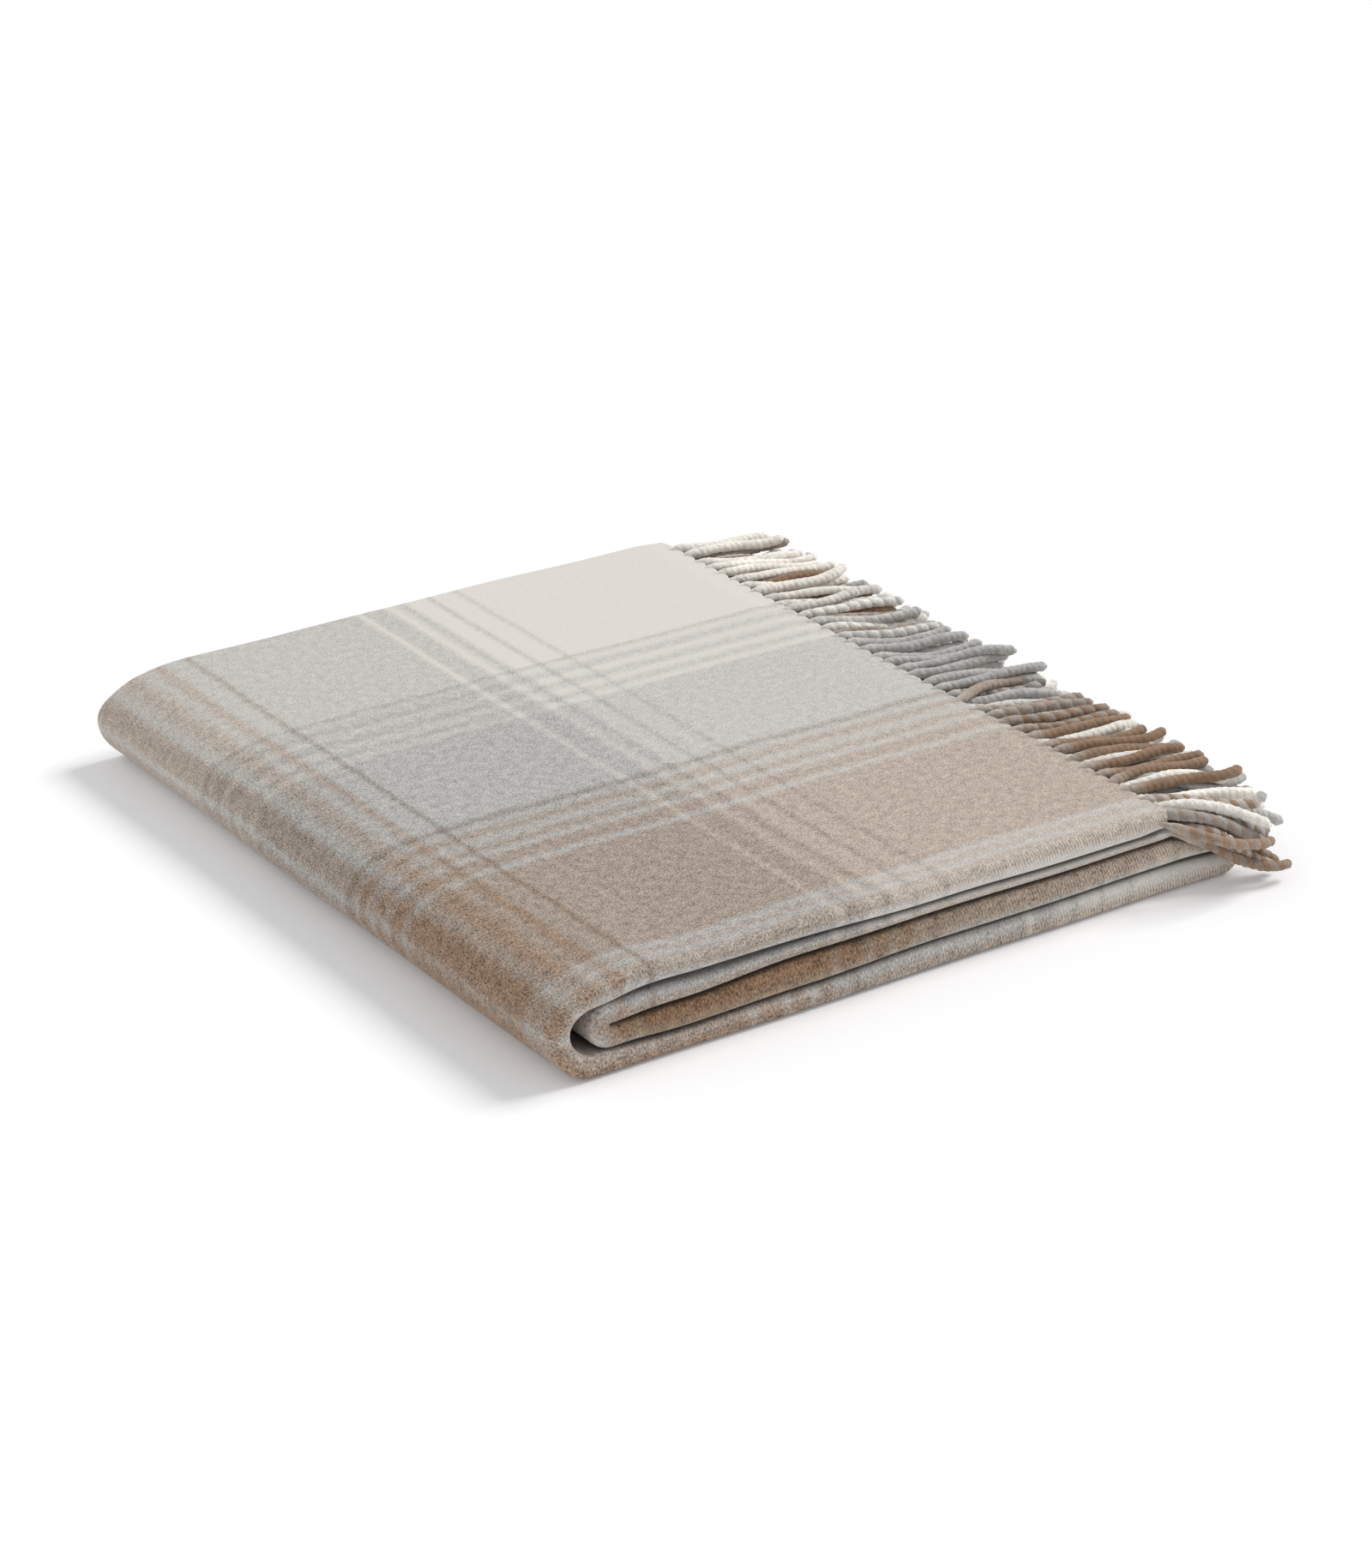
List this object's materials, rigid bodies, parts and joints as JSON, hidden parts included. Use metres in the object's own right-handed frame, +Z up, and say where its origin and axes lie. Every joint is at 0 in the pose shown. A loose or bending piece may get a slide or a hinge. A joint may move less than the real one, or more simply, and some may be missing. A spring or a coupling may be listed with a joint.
{
  "type": "folded throw blanket",
  "caption": "Brushed plaid wool throw folded into a flat rectangular stack, two soft rounded folds on the left and twisted tassel fringe on the right.",
  "frame": {"origin": "middle of the footprint, on the surface the folded throw lies on", "axes": "+X from the rounded left folds to the fringe, +Y from the front edge to the back edge, +Z up through the stack"},
  "size_m": [0.456, 0.4666, 0.0494],
  "materials": {
    "brushed_wool": "matt brushed twill, plaid of cream, grey and brown",
    "twisted_wool": "matt two-ply twisted tassels in cream, grey and brown"
  },
  "bodies": {
    "lower_half": {"bottom_panel_back_fold": "brushed_wool", "bottom_panel_front_roll": "brushed_wool", "bottom_panel_inner_third": "brushed_wool", "bottom_panel_outer_third": "brushed_wool", "bottom_panel_tucked_third": "brushed_wool", "left_inner_fold_inner_third": "brushed_wool", "left_inner_fold_outer_third": "brushed_wool", "left_inner_fold_tucked_third": "brushed_wool", "left_outer_fold_inner_third": "brushed_wool", "left_outer_fold_outer_third": "brushed_wool", "left_outer_fold_tucked_third": "brushed_wool", "lower_middle_panel_back_fold": "brushed_wool", "lower_middle_panel_front_roll": "brushed_wool", "lower_middle_panel_inner_third": "brushed_wool", "lower_middle_panel_outer_third": "brushed_wool", "lower_middle_panel_tucked_third": "brushed_wool", "right_fold_inner_third": "brushed_wool", "right_fold_outer_third": "brushed_wool", "right_fold_tucked_third": "brushed_wool"},
    "upper_half": {"top_panel_back_fold": "brushed_wool", "top_panel_front_roll": "brushed_wool", "top_panel_inner_fringe": "twisted_wool", "top_panel_inner_third": "brushed_wool", "top_panel_outer_fringe": "twisted_wool", "top_panel_outer_third": "brushed_wool", "top_panel_tucked_fringe": "twisted_wool", "top_panel_tucked_third": "brushed_wool", "upper_middle_panel_back_fold": "brushed_wool", "upper_middle_panel_front_roll": "brushed_wool", "upper_middle_panel_inner_fringe": "twisted_wool", "upper_middle_panel_inner_third": "brushed_wool", "upper_middle_panel_outer_fringe": "twisted_wool", "upper_middle_panel_outer_third": "brushed_wool", "upper_middle_panel_tucked_fringe": "twisted_wool", "upper_middle_panel_tucked_third": "brushed_wool"}
  },
  "joints": [
    {"name": "unfold", "type": "hinge", "parent": "lower_half", "child": "upper_half", "pos_m": [-0.19803, 0, 0.02473], "axis": [0, -1, 0], "range_deg": [0, 180], "deforming": ["left_inner_fold_inner_third", "left_inner_fold_outer_third", "left_inner_fold_tucked_third", "left_outer_fold_inner_third", "left_outer_fold_outer_third", "left_outer_fold_tucked_third"]}
  ]
}
